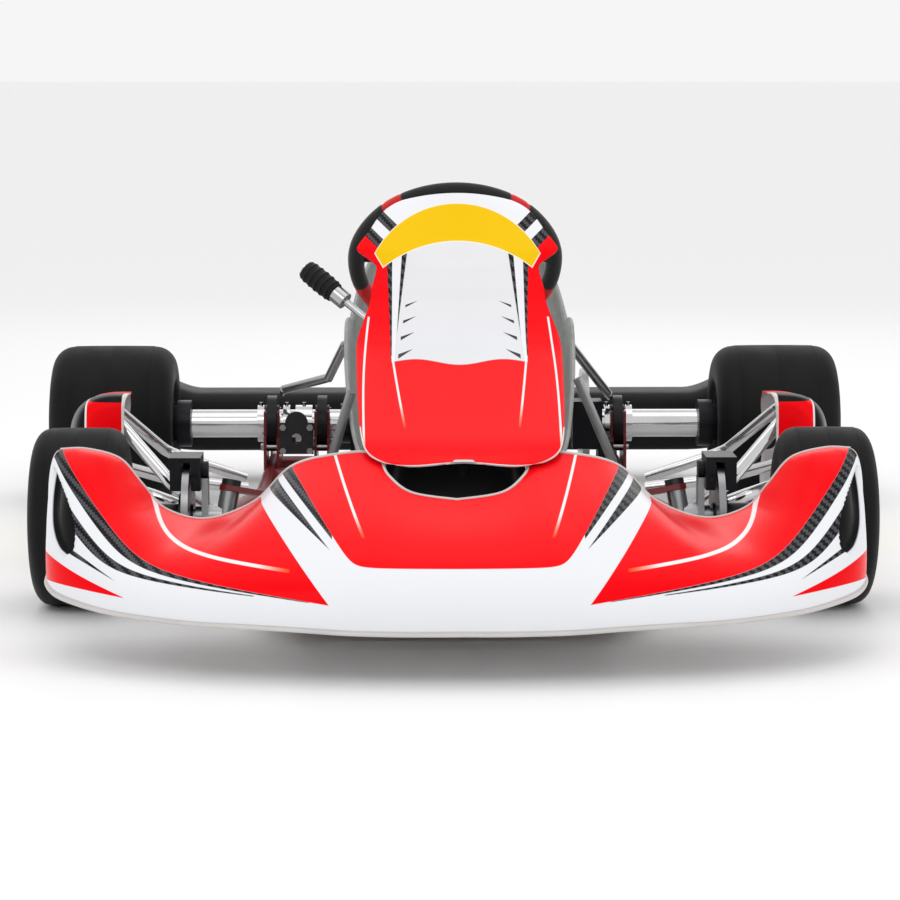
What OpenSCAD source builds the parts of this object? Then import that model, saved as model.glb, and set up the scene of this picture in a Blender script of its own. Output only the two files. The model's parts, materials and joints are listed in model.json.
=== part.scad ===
/* [Wheels] */
// Distance between the front and rear axle lines
wheelbase = 1050; // [1040:5:1060]
// Front axle line, measured from the middle of the kart
front_axle_y = -400; // [-405:5:-395]
// Radius of the front tyres
front_tyre_r = 129; // [127:1:131]
// Width of the front tyres
front_tyre_w = 135; // [130:1:138]
// Middle of the front tyres from the centre plane
front_wheel_x = 537.5; // [535:0.5:540]
// Radius of the rear tyres
rear_tyre_r = 140; // [138:1:142]
// Width of the rear tyres
rear_tyre_w = 218; // [210:1:220]
// Middle of the rear tyres from the centre plane
rear_wheel_x = 591; // [588:1:593]
// Radius of the rim's bead seats
bead_r = 63.5; // [63.5:0.5:64]

/* [Frame] */
// Radius of the main frame tubes
tube_r = 15; // [14:0.5:16]
// Height of the frame tubes' centre lines
rail_z = 55; // [54:1:57]
// Rear rails from the centre plane
rail_x = 310; // [308:1:312]
// Inner engine rail from the centre plane
inner_rail_x = 220; // [218:1:222]

/* [Axles] */
// Radius of the rear axle
axle_r = 25; // [24.5:0.5:25]
// Half length of the rear axle
axle_half = 520; // [515:1:525]
// Radius of the front stub axles
spindle_r = 12.5; // [12:0.5:12.5]
// Running clearance of shafts in their bores
fit = 0.05; // [0.03:0.01:0.08]
// Radius of the front brake discs
front_disc_r = 80; // [78:1:82]
// Radius of the rear brake disc
rear_disc_r = 98; // [95:1:100]

/* [Steering] */
// Steering column from the centre plane
column_x = 10; // [8:1:12]
// Slope of the steering column above level
column_slope = 41; // [40:0.5:42]
// Inward lean of the kingpins
kingpin_lean = 10; // [9:0.5:11]
// Backward lean of the kingpins
caster = 12; // [11:0.5:13]
// Kingpins from the centre plane, at axle height
kingpin_x = 330; // [328:1:332]
// Radius of the steering wheel's rim, to its centre line
wheel_rim_r = 158; // [154:1:160]
// Radius of the rim's grip
grip_r = 14; // [13:0.5:15]

/* [Bodywork] */
// Thickness of the moulded panels
skin_t = 3.5; // [3:0.5:4]
// Rear face of the rear bumper
bumper_y = 992; // [985:1:995]
// Seat's middle from the centre plane
seat_x = 22; // [20:1:24]

/* [Hidden] */
$fn = 48;
rear_axle_y = front_axle_y + wheelbase;
column_up = [0, cos(column_slope), sin(column_slope)];
column_down = [0, sin(column_slope), -cos(column_slope)];
wheel_centre = [column_x, 90, 465];
foot_z = 62;
column_foot = wheel_centre - column_up * (wheel_centre.z - foot_z) / sin(column_slope);
pitman_s = 104;
pitman_r = 50;
pitman_half = 11;
pitman_centre = column_foot + column_up * pitman_s;
arm_length = 95;
arm_outset = 12;
yoke_gap = 37;

// Vectors and smooth curves
function unit(v) = v / norm(v);
function turn(a, p, b) = acos(unit(p - a) * unit(b - p));
function setback(a, p, b, bend) = bend * tan(turn(a, p, b) / 2);
function flip(p, side) = [side * p.x, p.y, p.z];
function flip_all(path, side) = [for (p = path) flip(p, side)];
function reversed(list) = [for (i = [len(list) - 1 : -1 : 0]) list[i]];
function bezier(c, t) =
  pow(1 - t, 3) * c[0] + 3 * pow(1 - t, 2) * t * c[1] + 3 * (1 - t) * t * t * c[2] + pow(t, 3) * c[3];
function arc(centre, r, from, to, steps) =
  [for (i = [0 : steps]) let (a = from + (to - from) * i / steps) centre + r * [cos(a), sin(a)]];

// A straight round bar from a to b
module rod(a, b, r) {
  d = b - a;
  translate(a) rotate([0, acos(d.z / norm(d)), atan2(d.y, d.x)]) cylinder(h = norm(d), r = r);
}

// A bar along X, between x0 and x1, at height z and place y
module axle_bar(x0, x1, y, z, r, sides = 48) {
  translate([x0, y, z]) rotate([0, 90, 0]) cylinder(h = x1 - x0, r = r, $fn = sides);
}

// The bent stretch of a tube around the corner p
module elbow(a, p, b, bend, r) {
  v = unit(p - a);
  w = unit(cross(p - a, b - p));
  u = cross(v, w);
  c = p - v * setback(a, p, b, bend) - u * bend;
  multmatrix([[u.x, v.x, w.x, c.x], [u.y, v.y, w.y, c.y], [u.z, v.z, w.z, c.z], [0, 0, 0, 1]])
    rotate_extrude(angle = turn(a, p, b)) translate([bend, 0]) circle(r = r);
}

// A tube through the corners of path, bent to the radius bend at each one
module pipe(path, bend, r) {
  n = len(path);
  lap = 1.5;
  swell = 0.2;
  for (i = [0 : n - 2]) {
    g = unit(path[i + 1] - path[i]);
    start = i == 0 ? path[0] : path[i] + g * (setback(path[i - 1], path[i], path[i + 1], bend) - lap);
    end = i == n - 2 ? path[n - 1] : path[i + 1] - g * (setback(path[i], path[i + 1], path[i + 2], bend) - lap);
    rod(start, end, r);
  }
  for (i = [1 : n - 2]) elbow(path[i - 1], path[i], path[i + 1], bend, r + swell);
}

// A closed skin over rings of equal length; each ring is an outline followed by its inside, reversed
module shell(rings) {
  m = len(rings[0]);
  half = m / 2;
  last = (len(rings) - 1) * m;
  sides = [for (i = [0 : len(rings) - 2]) for (k = [0 : m - 1])
    let (a = i * m + k, b = i * m + (k + 1) % m) each [[a, b, b + m], [a, b + m, a + m]]];
  caps = [for (k = [0 : half - 2]) let (p = k, q = k + 1, r = m - 2 - k, s = m - 1 - k)
    each [[p, s, r], [p, r, q], [last + p, last + r, last + s], [last + p, last + q, last + r]]];
  polyhedron([for (ring = rings) each ring], concat(sides, caps));
}

// A round hose along the points of path
module hose(path, r, sides = 8) {
  n = len(path);
  function along(i) = unit(path[min(i + 1, n - 1)] - path[max(i - 1, 0)]);
  points = [for (i = [0 : n - 1]) let (u = unit(cross([0, 0, 1], along(i))), v = cross(along(i), u))
    for (k = [0 : sides - 1]) path[i] + r * (cos(360 * k / sides) * u + sin(360 * k / sides) * v)];
  walls = [for (i = [0 : n - 2]) for (k = [0 : sides - 1])
    let (a = i * sides + k, b = i * sides + (k + 1) % sides) each [[a, a + sides, b + sides], [a, b + sides, b]]];
  ends = [[for (k = [0 : sides - 1]) k], [for (k = [sides - 1 : -1 : 0]) (n - 1) * sides + k]];
  polyhedron(points, concat(walls, ends));
}

// ---- Frame ----
rail = [[rail_x, 770, rail_z], [rail_x, 330, rail_z], [355, 130, rail_z], [355, -70, rail_z],
  [292, -300, rail_z], [292, -450, rail_z], [215, -690, rail_z]];

module main_frame() {
  color("#6b1512") {
    pipe(concat(rail, reversed(flip_all(rail, -1))), 60, tube_r);
    rod([-330, -190, rail_z], [330, -190, rail_z], tube_r - 1);
    rod([-350, 95, rail_z], [350, 95, rail_z], tube_r - 1);
    rod([-307, 568, rail_z], [307, 568, rail_z], tube_r - 1);
    rod([-305, 745, rail_z], [305, 745, rail_z], tube_r - 2);
    rod([-inner_rail_x, 95, rail_z], [-inner_rail_x, 745, rail_z], tube_r);
  }
}

// Places its children at a kingpin, with Z along the pin; left is +1
module at_kingpin(side) {
  translate([side * kingpin_x, front_axle_y, front_tyre_r]) rotate([-caster, -kingpin_lean * side, 0]) children();
}

module yoke(side) {
  plate = 8;
  at_kingpin(side) difference() {
    union() {
      for (z = [-yoke_gap - plate, yoke_gap]) translate([0, 0, z]) {
        cylinder(h = plate, r = 16);
        translate([side > 0 ? -46 : 0, -16, 0]) cube([46, 32, plate]);
      }
      translate([side > 0 ? -54 : 46, -16, -yoke_gap - plate]) cube([8, 32, 2 * (yoke_gap + plate)]);
    }
    translate([0, 0, -60]) cylinder(h = 120, r = 8);
  }
  rod([side * 292, front_axle_y, rail_z + 4], [side * 289, front_axle_y - 6, 97], 12.5);
}
module yoke_left() { color("#7c1712") yoke(1); }
module yoke_right() { color("#7c1712") yoke(-1); }

module kingpins() {
  color("#20201f") for (side = [-1, 1]) at_kingpin(side) {
    translate([0, 0, -58]) cylinder(h = 108, r = 8);
    translate([0, 0, 45.05]) cylinder(h = 9, r = 14);
    translate([0, 0, -56]) cylinder(h = 10.9, r = 13, $fn = 6);
  }
}

hanger_places = [rail_x, -rail_x, -inner_rail_x];

module axle_hangers() {
  color("#6b1512") for (x = hanger_places) for (dx = [-14, 9]) difference() {
    union() {
      translate([x + dx, rear_axle_y - 52, rail_z + 6]) cube([5, 104, 59]);
      translate([x + dx, rear_axle_y - 40, rail_z + 60]) cube([5, 80, 50]);
    }
    axle_bar(x - 20, x + 20, rear_axle_y, rear_tyre_r, axle_r + 9);
  }
}

module bearing_cassettes() {
  color("#171717") for (x = hanger_places) difference() {
    union() {
      axle_bar(x - 8.5, x + 8.5, rear_axle_y, rear_tyre_r, 50);
      axle_bar(x - 12.5, x + 12.5, rear_axle_y, rear_tyre_r, axle_r + 8);
    }
    axle_bar(x - 20, x + 20, rear_axle_y, rear_tyre_r, axle_r + fit);
  }
}

module bridge_plate() {
  color("#1c1c1c") difference() {
    union() {
      translate([-295.5, rear_axle_y - 62, 92]) cube([61, 6, 56]);
      translate([-265, rear_axle_y - 56, 148]) rotate([90, 0, 0]) cylinder(h = 6, r = 20);
    }
    translate([-265, rear_axle_y - 50, 120]) rotate([90, 0, 0]) cylinder(h = 20, r = 9);
  }
}

// A bolt along X with its head at x0
module cross_bolt(x0, x1, y, z, r) {
  axle_bar(x0, x1, y, z, r);
  axle_bar(x0 - 5, x0, y, z, r * 1.7, 6);
}

module frame_bolts() {
  color("silver") {
    for (x = hanger_places) for (y = [-45, 45]) cross_bolt(x - 14.05, x + 18, rear_axle_y + y, 103, 4);
    for (x = [-289, -241]) for (z = [98, 140]) translate([x, rear_axle_y - 62.05, z]) rotate([90, 0, 0])
      cylinder(h = 6, r = 6, $fn = 6);
  }
}

module floor_tray() {
  half = [[205, -672], [277, -455], [277, -300], [312, -195], [312, -160]];
  color("#b9bcc0") translate([0, 0, rail_z - tube_r - 3.6]) linear_extrude(3)
    polygon(concat(half, [for (p = reversed(half)) [-p.x, p.y]]));
}

module fuel_tank() {
  color("#e8e6da") translate([column_x, -15, 40.2]) {
    translate([-125, -80, 0]) cube([250, 150, 100]);
    translate([-105, -70, 100]) cube([210, 130, 38]);
    translate([60, 0, 138]) cylinder(h = 14, r = 26);
  }
}

module tank_cap() {
  color("#1d1d1d") translate([column_x + 60, -15, 192.4]) {
    cylinder(h = 12, r = 31);
    translate([0, 0, 12]) cylinder(h = 8, r = 7);
  }
}

// The upper column bearing sits this far along the column
bearing_s = 405;
bearing_centre = column_foot + column_up * bearing_s;

// Places its children on the column at the distance s from its foot, with Z along the column
module on_column(s) { translate(column_foot + column_up * s) rotate([column_slope - 90, 0, 0]) children(); }

module column_bracket() {
  color("#2a2a2b") {
    for (side = [-1, 1]) rod([column_x + side * 75, -188, rail_z + 8],
      bearing_centre + [side * 26, 0, 0], 9);
    on_column(bearing_s - 15) difference() {
      union() {
        cylinder(h = 30, r = 24);
        translate([-40, -14, 1]) cube([80, 28, 28]);
      }
      translate([0, 0, -1]) cylinder(h = 32, r = 17);
    }
    on_column(-8) difference() {
      translate([-30, -16, 0]) cube([60, 32, 9.5]);
      translate([0, 0, -1]) cylinder(h = 16, r = 8 + fit);
    }
    difference() {
      translate([column_x - 24, column_foot.y - 24, 39.7]) cube([48, 44, 16]);
      on_column(-30) cylinder(h = 60, r = 9);
    }
  }
}

module column_bearing() {
  color("#111111") on_column(bearing_s - 17) difference() {
    cylinder(h = 34, r = 17);
    translate([0, 0, -1]) cylinder(h = 36, r = 10 + fit);
  }
}

// ---- Bumpers and bodywork ----
module front_bumper() {
  low = [[188, -680, 60], [188, -900, 92]];
  high = [[150, -678, 62], [150, -700, 150], [150, -860, 158]];
  color("#c9cbce") {
    pipe(concat(low, reversed(flip_all(low, -1))), 50, 10);
    pipe(concat(high, reversed(flip_all(high, -1))), 40, 9);
  }
}

// Control points of the fairing, from its rear edge over the hood to its lip, middle to end
fairing_rows = [
  [[0, -760, 205], [0, -850, 180], [0, -1030, 165], [0, -985, 66]],
  [[60, -742, 212], [60, -850, 182], [70, -1028, 163], [70, -985, 66]],
  [[92, -690, 229], [110, -850, 190], [140, -1022, 160], [140, -980, 67]],
  [[110, -628, 250], [130, -800, 198], [200, -1012, 158], [205, -972, 70]],
  [[165, -620, 248], [180, -790, 196], [260, -1000, 155], [270, -960, 72]],
  [[225, -625, 232], [245, -780, 190], [320, -982, 152], [335, -945, 73]],
  [[275, -632, 185], [300, -770, 165], [375, -960, 155], [395, -920, 75]],
  [[340, -645, 163], [360, -770, 155], [430, -932, 165], [450, -890, 78]],
  [[395, -655, 178], [420, -760, 190], [475, -895, 190], [495, -850, 82]],
  [[425, -660, 212], [455, -750, 235], [520, -853, 215], [528, -805, 86]],
  [[455, -664, 248], [490, -735, 270], [545, -807, 235], [545, -760, 92]],
  [[500, -668, 262], [525, -710, 272], [553, -760, 240], [549, -715, 97]],
  [[535, -672, 262], [546, -690, 262], [553, -715, 230], [548, -680, 99]]];

function inset(p) = [-skin_t * pow(p.x / 550, 5), skin_t, -skin_t];
function fairing_ring(row, steps = 8) = let (outer = [for (i = [0 : steps]) bezier(row, i / steps)])
  concat(outer, [for (p = reversed(outer)) p + inset(p)]);

module front_fairing() {
  half = [for (row = fairing_rows) fairing_ring(row)];
  mirrored = [for (i = [len(half) - 1 : -1 : 1]) flip_all(half[i], -1)];
  color("#c41a1c") shell(concat(mirrored, half));
}

// Height, place along the kart and half width of the nassau panel, from its toe to its top
nassau_rows = [[241, -702, 96], [253, -666, 130], [267, -629, 139], [294, -540, 145], [340, -395, 150],
  [375, -300, 150], [420, -240, 134], [458, -206, 128], [478, -188, 122], [499, -168, 153], [528, -142, 132],
  [548, -124, 111], [566, -107, 90], [586, -89, 50]];

function nassau_point(row, t, depth) = [column_x + row[2] * t, row[1] + 22 * t * t + depth,
  row[0] - depth * 0.9];

module nassau_panel() {
  spread = [for (k = [-4 : 4]) k / 4];
  color("#d8d8d8") shell([for (row = nassau_rows)
    concat([for (t = spread) nassau_point(row, t, 0)], [for (t = reversed(spread)) nassau_point(row, t, skin_t)])]);
}

module nassau_bracket() {
  top = column_foot + column_up * (bearing_s + 40);
  color("#1a1a1a") {
    on_column(bearing_s + 18) difference() {
      translate([-20, -34, 0]) cube([40, 56, 16]);
      translate([0, 0, -1]) cylinder(h = 18, r = 12.5);
    }
    rod(top + [0, -42, 4], [column_x, -142, 520], 8);
    rod([column_x, -688, 64], [column_x, -608, 269], 7);
  }
}

// Side bumper bars, left side
upper_bar = [[350, -75, 72], [430, -120, 138], [515, -76, 228], [560, 60, 234], [560, 290, 212],
  [480, 405, 120], [345, 420, 72]];
lower_bar = [[352, -40, 60], [440, -115, 112], [508, -70, 128], [572, 80, 120], [572, 280, 120],
  [470, 350, 80], [340, 365, 62]];

module side_bumper(side) {
  pipe(flip_all(upper_bar, side), 40, 10);
  pipe(flip_all(lower_bar, side), 40, 10);
}
module side_bumper_left() { color("#d2d4d6") side_bumper(1); }
module side_bumper_right() { color("#d2d4d6") side_bumper(-1); }

// Stations of the side pod: y, inner and outer x, top and bottom z
pod_rows = [[-112, 504, 516, 206, 190], [-110, 503, 548, 244, 140], [-102, 502, 566, 264, 100],
  [-72, 500, 586, 272, 78], [50, 508, 606, 260, 50], [240, 524, 612, 242, 46], [390, 540, 606, 220, 52],
  [445, 545, 596, 196, 75], [460, 550, 576, 165, 115]];

function bulge(v) = sign(v) * pow(abs(v), 0.55);
function pod_point(row, a, inward) =
  [row[1] + (row[2] - row[1] - inward) * bulge(sin(a)), row[0],
   (row[3] + row[4]) / 2 + ((row[3] - row[4]) / 2 - inward) * bulge(cos(a))];

module side_pod(side) {
  angles = [for (k = [0 : 10]) 18 * k];
  rings = [for (row = pod_rows)
    concat([for (a = angles) pod_point(row, a, 0)], [for (a = reversed(angles)) pod_point(row, a, skin_t)])];
  mirror([side > 0 ? 0 : 1, 0, 0]) shell(reversed(rings));
}
module side_pod_left() { color("#c41a1c") side_pod(1); }
module side_pod_right() { color("#c41a1c") side_pod(-1); }

module rear_bumper() {
  color("#161616") {
    translate([-455, bumper_y - 128, 60]) cube([910, 128, 112]);
    for (side = [-1, 1]) hull() {
      translate([side * 450, bumper_y - 128, 60]) cube([2, 128, 112], center = false);
      translate([side * 640, bumper_y - 95, 75]) cylinder(h = 160, r = 40, $fn = 32);
    }
  }
}

module bumper_mounts() {
  color("#9a9da0") for (side = [-1, 1]) {
    rod([side * rail_x, 770.3, rail_z], [side * rail_x, 800, rail_z], 12);
    rod([side * rail_x, 795, rail_z], [side * rail_x, bumper_y - 128.3, 100], 12);
  }
}

// ---- Seat ----
// Spine of the seat: y, z, half width, height of the sides, lean of the sides
seat_rows = [[150, 98, 150, 40, 0], [185, 62, 165, 90, 0], [260, 36, 172, 165, 0.05],
  [350, 30, 175, 260, 0.1], [425, 42, 172, 330, 0.12], [480, 90, 170, 300, 0.2], [515, 180, 176, 205, 0.5],
  [545, 280, 178, 120, 0.9], [575, 390, 160, 60, 1.2], [600, 470, 120, 34, 1.4], [612, 505, 80, 20, 1.4]];

function seat_point(row, t, inward) = let (rise = (row[3]) * pow(abs(t), 4), w = row[2] - inward)
  [seat_x + w * sign(t) * (1 - pow(1 - abs(t), 1.7)) * (1 + 0.12 * row[3] / 330 * pow(abs(t), 4)),
   row[0] - row[4] * rise * 0.55 - inward * min(1, row[4] * 2), row[1] + rise / (1 + row[4]) + inward];

module seat() {
  spread = [for (k = [-7 : 7]) k / 7];
  color("#9a9c98") shell([for (row = seat_rows)
    concat([for (t = spread) seat_point(row, t, 0)], [for (t = reversed(spread)) seat_point(row, t, 5)])]);
}

module seat_struts() {
  color("#a7a9ab") {
    rod([-175, 455, 300], [-206, 520, 234], 8);
    rod([-205, 518, 236], [-288, 612, 205], 8);
    rod([-288, 604, 207], [-291, 640, 196], 6);
    rod([214, 455, 300], [292, 612, 196], 8);
    rod([292, 604, 199], [296, 640, 188], 6);
    rod([216, 250, 262], [300, 262, 66], 8);
    rod([-160, 250, 240], [-212, 262, 66], 8);
  }
}

// ---- Brakes and controls on the frame ----
module master_cylinders() {
  color("#b8babc") {
    for (x = [134, 166]) difference() {
      union() {
        translate([x, -350, 96]) rotate([90, 0, 0]) cylinder(h = 105, r = 12);
        translate([x - 7, -425, 100]) cube([14, 60, 26]);
      }
      translate([x, -400, 96]) rotate([90, 0, 0]) cylinder(h = 60, r = 3.5);
    }
    translate([124, -422, 126.2]) cube([52, 54, 30]);
    translate([118, -440, 39.7]) cube([64, 70, 46]);
  }
}

brake_line_route = [[150, -351, 78], [150, -330, 74], [190, -300, 74], [270, -285, 78], [303, -240, 78],
  [316, -160, 76], [322, -60, 74], [325, 30, 74], [325, 120, 74], [318, 230, 74], [311, 330, 74], [310, 440, 74],
  [309, 500, 78], [300, 535, 96], [285, 545, 120], [270, 547, 140]];

module rear_brake_line() { color("#222222") hose(brake_line_route, 3); }

rear_disc_x = 250;

module rear_caliper() {
  y = rear_axle_y - rear_disc_r + 12;
  color("#1b1b1c") difference() {
    union() {
      translate([rear_disc_x - 26, y - 36, 108]) cube([52, 58, 84]);
      translate([rear_disc_x + 20, y - 26, 80]) cube([26, 70, 40]);
    }
    axle_bar(rear_disc_x - 8, rear_disc_x + 8, rear_axle_y, rear_tyre_r, rear_disc_r + 3);
    axle_bar(rear_disc_x - 60, rear_disc_x + 60, rear_axle_y, rear_tyre_r, 62);
    axle_bar(rear_disc_x + 30, rear_disc_x + 60, rear_axle_y - 45, 103, 8);
  }
}

shift_pivot = [-125, -190, 100];

module shift_bracket() {
  color("#2a2a2b") for (dx = [-14, 9]) difference() {
    translate(shift_pivot + [dx, -11, -38]) cube([5, 22, 52]);
    translate(shift_pivot + [dx - 1, 0, 0]) rotate([0, 90, 0]) cylinder(h = 7, r = 5);
  }
  color("silver") {
    translate(shift_pivot + [-18, 0, 0]) rotate([0, 90, 0]) cylinder(h = 36, r = 5);
  }
}

pedal_x = 150;
pedal_pivot_y = -560;
pedal_pivot_z = 62;

module pedal_mounts() {
  color("#2a2a2b") for (side = [-1, 1]) {
    for (dx = [-20, 15]) translate([side * pedal_x + dx, pedal_pivot_y - 12, 39.7]) cube([5, 24, 34]);
    axle_bar(side * pedal_x - 24, side * pedal_x + 24, pedal_pivot_y, pedal_pivot_z, 5);
  }
}

module pedal(side) {
  x = side * pedal_x;
  difference() {
    union() {
      axle_bar(x - 14.5, x + 14.5, pedal_pivot_y, pedal_pivot_z, 10);
      rod([x, pedal_pivot_y, pedal_pivot_z], [x, pedal_pivot_y + 12, 150], 7);
      rod([x, pedal_pivot_y + 11, 146], [x, pedal_pivot_y + 36, 218], 7);
      axle_bar(x - 42, x + 42, pedal_pivot_y + 32, 208, 9);
    }
    axle_bar(x - 30, x + 30, pedal_pivot_y, pedal_pivot_z, 5 + fit);
  }
}
module brake_pedal() { color("#b3322a") pedal(1); }
module throttle_pedal() { color("#b3322a") pedal(-1); }

module brake_rod() {
  color("silver") {
    rod([150, -546.4, 103], [150, -462, 97], 3);
    rod([132, -462, 97], [168, -462, 97], 4);
    for (x = [134, 166]) rod([x, -462, 96], [x, -408, 96], 3);
  }
}

// ---- Steering ----
module steering_column() {
  color("#8d9093") {
    on_column(-6) cylinder(h = 8, r = 8);
    on_column(2) cylinder(h = 583, r = 10);
    on_column(pitman_s - 5) difference() {
      union() {
        cylinder(h = 7, r = 20);
        translate([-pitman_half - 10, 1, 0]) cube([2 * pitman_half + 20, pitman_r, 7]);
        for (side = [-1, 1]) translate([side * pitman_half, pitman_r, 0]) cylinder(h = 7, r = 9.5);
      }
      for (side = [-1, 1]) translate([side * pitman_half, pitman_r, -1]) cylinder(h = 9, r = 4 + fit);
    }
    on_column(575) cylinder(h = 10, r = 28);
  }
}

module steering_wheel() {
  s = norm(wheel_centre - column_foot);
  color("#1c1c1d") on_column(s) {
    rotate_extrude() translate([wheel_rim_r, 0]) circle(r = grip_r);
    for (a = [90, 190, 350]) rotate([0, 0, a]) translate([24, -17, -8]) cube([wheel_rim_r - 30, 34, 5]);
    translate([0, 0, 585.05 - s]) cylinder(h = s - 585.05 - 2, r = 34);
  }
}

module stub_axle(side) {
  at_kingpin(side) difference() {
    union() {
      translate([0, 0, -yoke_gap + 0.5]) cylinder(h = 2 * yoke_gap - 1, r = 14);
      translate([side * arm_outset - 13, 0, -20]) cube([26, arm_length, 8]);
      translate([side * arm_outset, arm_length, -20]) cylinder(h = 8, r = 13);
    }
    translate([0, 0, -60]) cylinder(h = 120, r = 8 + fit);
    translate([side * arm_outset, arm_length, -30]) cylinder(h = 30, r = 8);
  }
  difference() {
    mirror([side > 0 ? 0 : 1, 0, 0]) {
      axle_bar(kingpin_x + 2, 560, front_axle_y, front_tyre_r, spindle_r);
      axle_bar(kingpin_x + 4, 373, front_axle_y, front_tyre_r, 16);
      axle_bar(556, 568, front_axle_y, front_tyre_r, 18, 6);
      translate([354, front_axle_y - 18, front_tyre_r - 4]) cube([9, 36, 62]);
    }
    at_kingpin(side) translate([0, 0, -60]) cylinder(h = 120, r = 8 + fit);
  }
}
module stub_axle_left() { color("#8f9295") stub_axle(1); }
module stub_axle_right() { color("#8f9295") stub_axle(-1); }

front_disc_x = 384;

module front_caliper(side) {
  mirror([side > 0 ? 0 : 1, 0, 0]) difference() {
    union() {
      translate([363.2, front_axle_y - 36, front_tyre_r + 42]) cube([44, 72, 48]);
      axle_bar(354, 363.2, front_axle_y, front_tyre_r + 68, 13);
      translate([372, front_axle_y - 30, front_tyre_r + 60]) rotate([90, 0, 0]) cylinder(h = 16, r = 4);
    }
    translate([front_disc_x - 7, front_axle_y - 60, front_tyre_r]) cube([14, 120, front_disc_r + 3]);
  }
}
module front_caliper_left() { color("#1b1b1c") front_caliper(1); }
module front_caliper_right() { color("#1b1b1c") front_caliper(-1); }

function lean(side, v) = let (b = -kingpin_lean * side, y = v.y * cos(caster) + v.z * sin(caster),
  z = v.z * cos(caster) - v.y * sin(caster)) [v.x * cos(b) + z * sin(b), y, z * cos(b) - v.x * sin(b)];

module tie_rod(side) {
  inner = pitman_centre + [side * pitman_half, 0, 0] + column_down * pitman_r + column_up * 11;
  pin = [side * arm_outset, arm_length, -5];
  outer = [side * kingpin_x, front_axle_y, front_tyre_r] + lean(side, pin);
  along = unit(outer - inner);
  on_column(pitman_s + 2.4) translate([side * pitman_half, pitman_r, 0]) cylinder(h = 15, r = 9.5);
  on_column(pitman_s - 12) translate([side * pitman_half, pitman_r, 0]) cylinder(h = 32, r = 4);
  rod(inner + along * 6, outer - along * 6, 6);
  at_kingpin(side) translate([side * arm_outset, arm_length, -10]) cylinder(h = 10, r = 10);
  at_kingpin(side) translate([side * arm_outset, arm_length, -28]) cylinder(h = 32, r = 3);
}
module tie_rod_left() { color("#b2b4b7") tie_rod(1); }
module tie_rod_right() { color("#b2b4b7") tie_rod(-1); }

// ---- Front wheels ----
module front_hub(side) {
  mirror([side > 0 ? 0 : 1, 0, 0]) difference() {
    union() {
      axle_bar(376, 528, front_axle_y, front_tyre_r, 19);
      axle_bar(front_disc_x + 5.1, front_disc_x + 12, front_axle_y, front_tyre_r, 34);
      axle_bar(526, 535.9, front_axle_y, front_tyre_r, 38);
      axle_bar(535, 550, front_axle_y, front_tyre_r, 19);
      for (a = [0, 120, 240]) {
        y = front_axle_y + 29 * sin(a);
        z = front_tyre_r + 29 * cos(a);
        axle_bar(530, 556, y, z, 4);
        axle_bar(544.1, 551, y, z, 7, 6);
      }
    }
    axle_bar(370, 560, front_axle_y, front_tyre_r, spindle_r + fit);
  }
}
module front_hub_left() { color("#1a1a1a") front_hub(1); }
module front_hub_right() { color("#1a1a1a") front_hub(-1); }

module front_disc(side) {
  mirror([side > 0 ? 0 : 1, 0, 0]) difference() {
    axle_bar(front_disc_x - 5, front_disc_x + 5, front_axle_y, front_tyre_r, front_disc_r);
    axle_bar(front_disc_x - 9, front_disc_x + 9, front_axle_y, front_tyre_r, 19);
    for (a = [0 : 30 : 330]) axle_bar(front_disc_x - 9, front_disc_x + 9,
      front_axle_y + 62 * sin(a), front_tyre_r + 62 * cos(a), 4);
  }
}
module front_disc_left() { color("#a9abad") front_disc(1); }
module front_disc_right() { color("#a9abad") front_disc(-1); }

// Rim section from its inner edge to its outer edge, with the bolting web at web_x
module rim(x0, x1, web_x, y, z, hub_r, pcd, bolt_r) {
  lip = bead_r + 9;
  difference() {
    translate([0, y, z]) rotate([0, 90, 0]) rotate_extrude() polygon([[lip, x0], [lip, x0 + 3.5], [bead_r, x0 + 7],
      [bead_r, x0 + 26], [bead_r - 7, x0 + 34], [bead_r - 7, x1 - 34], [bead_r, x1 - 26], [bead_r, x1 - 7],
      [lip, x1 - 3.5], [lip, x1], [bead_r - 4, x1 - 6], [bead_r - 4, x1 - 27], [bead_r - 11, x1 - 35],
      [bead_r - 11, web_x + 8], [hub_r, web_x + 8], [hub_r, web_x], [bead_r - 11, web_x], [bead_r - 11, x0 + 35],
      [bead_r - 4, x0 + 27], [bead_r - 4, x0 + 6]]);
    for (a = [0, 120, 240])
      axle_bar(web_x - 4, web_x + 12, y + pcd / 2 * sin(a), z + pcd / 2 * cos(a), bolt_r);
  }
}
module front_rim(side) {
  mirror([side > 0 ? 0 : 1, 0, 0])
    rim(front_wheel_x - 63, front_wheel_x + 63, 536, front_axle_y, front_tyre_r, 19.1, 58, 4.1);
}
module front_rim_left() { color("#2a2b2d") front_rim(1); }
module front_rim_right() { color("#2a2b2d") front_rim(-1); }

// Tyre section: sidewalls, rounded shoulders and a slightly crowned tread
module tyre(x, y, z, r, w) {
  shoulder = 24;
  wall = 7;
  outer = concat([[bead_r + 0.1, -w / 2 + 12], [bead_r + 14, -w / 2 + 2]],
    arc([r - 2 - shoulder, -w / 2 + shoulder], shoulder, -90, 0, 6), [[r, 0]],
    arc([r - 2 - shoulder, w / 2 - shoulder], shoulder, 0, 90, 6), [[bead_r + 14, w / 2 - 2],
    [bead_r + 0.1, w / 2 - 12]]);
  inner = [[bead_r + 0.1, w / 2 - 22], [bead_r + 16, w / 2 - wall - 5], [r - 30, w / 2 - wall], [r - wall - 2, w / 2 - 26],
    [r - wall - 2, -w / 2 + 26], [r - 30, -w / 2 + wall], [bead_r + 16, -w / 2 + wall + 5], [bead_r + 0.1, -w / 2 + 22]];
  translate([x, y, z]) rotate([0, 90, 0]) rotate_extrude() polygon(concat(outer, inner));
}
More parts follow.
